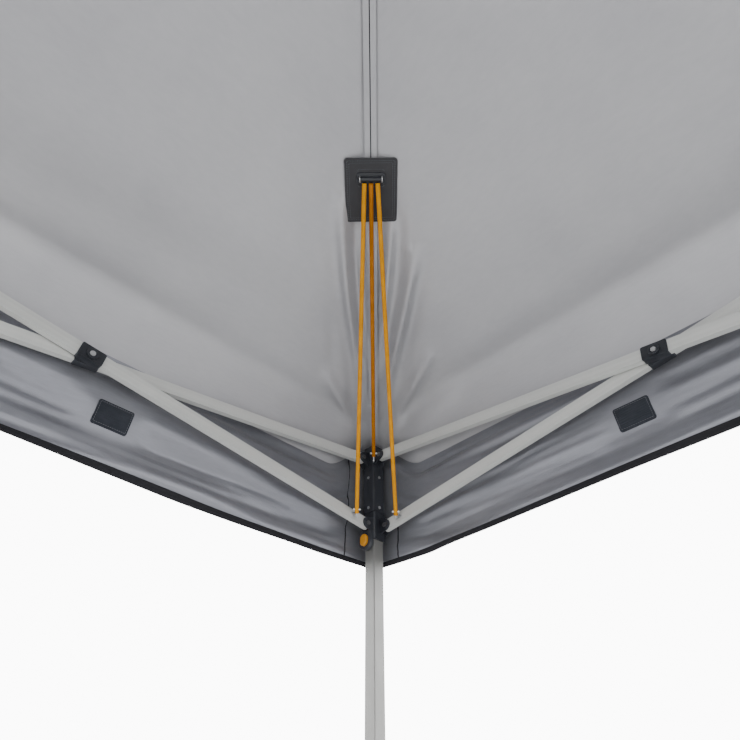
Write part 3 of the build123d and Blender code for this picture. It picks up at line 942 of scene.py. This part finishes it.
def add_cords(corner):
    """The three elastic cords of a corner, each with the hook and beads at its lower end."""
    name, side, next_side = CORNERS[corner], SIDES[corner], SIDES[(corner + 1) % 4]
    bodies = {
        "front": f"{side}_bar_to_slider_a",
        "middle": f"{name}_leg",
        "right": f"{next_side}_bar_to_slider_b",
    }
    braids = {"front": amber_braid, "middle": shaded_amber_braid, "right": amber_braid}
    for label, route in cord_routes():
        line = smooth_line([turned(p, corner) for p in route])
        line, length = respaced(line, 0.003)
        sheath = tube_shape(line, cord_radius, 16, braid)
        cord = new_object(f"{name}_bungee_{label}", *sheath, [braids[label]])
        end, along = Vector(line[-1]), (Vector(line[-1]) - Vector(line[-6])).normalized()
        across = along.cross(Vector((0, 0, 1))).normalized()
        hook_centre = end + along * 0.0050
        shapes = [ring_shape(hook_centre, across, 0.0062, 0.0014, 0.8, start=-along)]
        for bead in (-1, 1):
            centre = end - along * 0.009 + across * (bead * 0.0062)
            path = [tuple(centre + across * s) for s in (-0.0022, -0.0014, 0.0, 0.0014, 0.0022)]
            shapes.append(tube_shape(path, 0.0024, 12))
        hook = new_object(f"{name}_cord_hook_{label}", *join_shapes(shapes), [zinc])
        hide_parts("bungee_cords")
        for piece, finish in ((cord, "bungee"), (hook, "bar_steel")):
            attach(piece, bodies[label])
        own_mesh(cord)


# ---------------------------------------------------------------- finishes of the frame's own parts
def finish_node(name, by_size):
    """Finish the separate solids of a node, told apart by size. by_size is a list of (smallest
    diagonal, material), largest first. A solid's faces follow each other, and it ends where every
    edge has met its second face."""
    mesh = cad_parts[name].data
    places, corner_of = {}, []
    for vertex in mesh.vertices:
        corner_of.append(places.setdefault(tuple(round(c, 6) for c in vertex.co), len(places)))
    open_edges, runs, current = set(), [], []
    for polygon in mesh.polygons:
        current.append(polygon)
        ring = [corner_of[i] for i in polygon.vertices]
        for a, b in zip(ring, ring[1:] + ring[:1]):
            if a != b:
                open_edges ^= {(min(a, b), max(a, b))}
        if not open_edges:
            runs.append(current)
            current = []
    runs += [current] if current else []
    mesh.materials.clear()
    for _, material in by_size:
        mesh.materials.append(material)
    for polygons in runs:
        used = np.array([mesh.vertices[i].co for polygon in polygons for i in polygon.vertices])
        size = float(np.linalg.norm(np.ptp(used, axis=0)))
        mark = next((i for i, (least, _) in enumerate(by_size) if size >= least), len(by_size) - 1)
        for polygon in polygons:
            polygon.material_index = mark


def finish_frame():
    """Coats every node of the frame; the soft ones are replaced by drawn pieces."""
    bar_size, moulding_size, bolt_size = 0.5, 0.05, 0.026  # smallest diagonals
    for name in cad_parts:
        if name in ("canopy", "hip_patches", "valance_pads", "bungee_cords"):
            continue
        if "_bar_" in name:
            finish_node(name, [(bar_size, bar_coat), (moulding_size, black_nylon), (0.0, zinc)])
        elif name.endswith(("_leg_tube", "_lower_leg")) or name == "mast":
            finish_node(name, [(0.0, shaded_leg_coat)])
        elif name.endswith("_latch_button"):
            finish_node(name, [(0.0, amber_nylon)])
        elif name == "mast_cap":
            finish_node(name, [(0.0, black_nylon)])
        elif name.endswith("_mid_joint"):
            finish_node(name, [(moulding_size, black_nylon), (0.0, dark_zinc)])
        else:
            metals = [(bolt_size, dark_zinc), (0.0, zinc)]
            finish_node(name, [(moulding_size, black_nylon)] + metals)


def add_leg_collar(corner):
    """Moulded collar at the foot end of a leg's outer tube, with its height button."""
    name = CORNERS[corner]
    centre = Vector((leg_axis, -leg_axis, leg_low.z))
    outline = []
    for quadrant, (sx, sy) in enumerate(((1, 1), (-1, 1), (-1, -1), (1, -1))):
        for i in range(5):
            angle = math.pi / 2 * (quadrant + i / 4)
            x, y = sx * 0.013 + math.cos(angle) * 0.0065, sy * 0.013 + math.sin(angle) * 0.0065
            outline.append((x, y))
    levels = ((-0.012, 0.93), (-0.010, 1.0), (0.050, 1.0), (0.054, 0.97), (0.056, 0.88))
    vertices = [
        tuple(centre + Vector((x * scale, y * scale, height)))
        for height, scale in levels
        for x, y in outline
    ]
    bore = 0.0148
    inner = [
        tuple(centre + Vector((math.copysign(bore, x), math.copysign(bore, y), height)))
        for height in (levels[-1][0], levels[0][0])
        for x, y in outline
    ]
    count, rings = len(outline), len(levels) + 2
    faces = []
    for ring in range(rings):
        for i in range(count):
            a, b = ring * count + i, ring * count + (i + 1) % count
            c, d = ((ring + 1) % rings) * count + (i + 1) % count, ((ring + 1) % rings) * count + i
            faces.append((a, b, c, d))
    shapes = [(np.array(vertices + inner), faces)]
    knob = centre + Vector((-0.0185, 0, 0.024))
    path = [tuple(knob + Vector((-s, 0, 0))) for s in (-0.001, 0.002, 0.0035, 0.0042)]
    shapes.append(tube_shape(path, 0.0075, 20))
    points, faces = join_shapes(shapes)
    points = quarter_turn(points, corner)
    collar = new_object(f"{name}_leg_collar", points, faces, [black_nylon], smooth=False)
    tidy_mesh(collar)
    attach(collar, f"{name}_leg")


# ---------------------------------------------------------------- floor and light
def add_stage():
    """Grey floor, and a world that is bright round the horizon and dim overhead and below."""
    floor_half = 7.5
    corners = [(x * floor_half, y * floor_half, 0) for x, y in ((-1, -1), (1, -1), (1, 1), (-1, 1))]
    material, _ = new_material("studio_floor", (0.20, 0.20, 0.20), 0.9)
    floor = new_object("studio_floor", corners, [(0, 1, 2, 3)], [material], smooth=False)
    floor.location.z = -0.001
    world = bpy.data.worlds.new("studio_world")
    world.use_nodes = True
    tree = world.node_tree
    background = tree.nodes["Background"]
    background.inputs["Color"].default_value = (1.0, 1.0, 1.0, 1.0)
    place = tree.nodes.new("ShaderNodeTexCoord")
    split = tree.nodes.new("ShaderNodeSeparateXYZ")
    tree.links.new(place.outputs["Generated"], split.inputs[0])

    def blend_up(low, high, below, above):
        """A strength that goes smoothly from below to above between two heights of view."""
        made = tree.nodes.new("ShaderNodeMapRange")
        made.interpolation_type = "SMOOTHSTEP"
        labels = ("From Min", "From Max", "To Min", "To Max")
        for label, value in zip(labels, (low, high, below, above)):
            made.inputs[label].default_value = value
        tree.links.new(split.outputs["Z"], made.inputs["Value"])
        return made.outputs["Result"]

    sky, ground = blend_up(0.64, 0.80, 11.0, 0.5), blend_up(-0.02, 0.08, 0.42, 1.0)
    tree.links.new(product(tree, sky, ground), background.inputs["Strength"])
    scene.world = world

    def area(name, place, target, size, power):
        data = bpy.data.lights.new(name, "AREA")
        data.shape, data.size, data.energy = "SQUARE", size, power
        light = bpy.data.objects.new(name, data)
        light.location = place
        light.rotation_euler = (Vector(target) - Vector(place)).to_track_quat("-Z", "Y").to_euler()
        scene.collection.objects.link(light)

    area("sky_panel", (-3.5, -4.5, 6.0), (0, 0, 1.5), 4.0, 300.0)
    area("side_panel", (5.0, -2.5, 3.0), (0, 0, 1.5), 3.0, 160.0)
    area("under_panel", (-0.3, -0.2, 0.35), (0.9, 0.9, 2.2), 1.2, 10.0)


# ---------------------------------------------------------------- the gazebo
add_camera()
for corner in range(4):
    add_cords(corner)
for quarter in range(4):
    for direction in (1, -1):
        add_roof(quarter, direction)
    add_valance(quarter)
    add_pads(quarter)
for corner in range(4):
    add_hip_tape(corner)
    add_patch(corner)
    add_leg_collar(corner)
finish_frame()
add_stage()
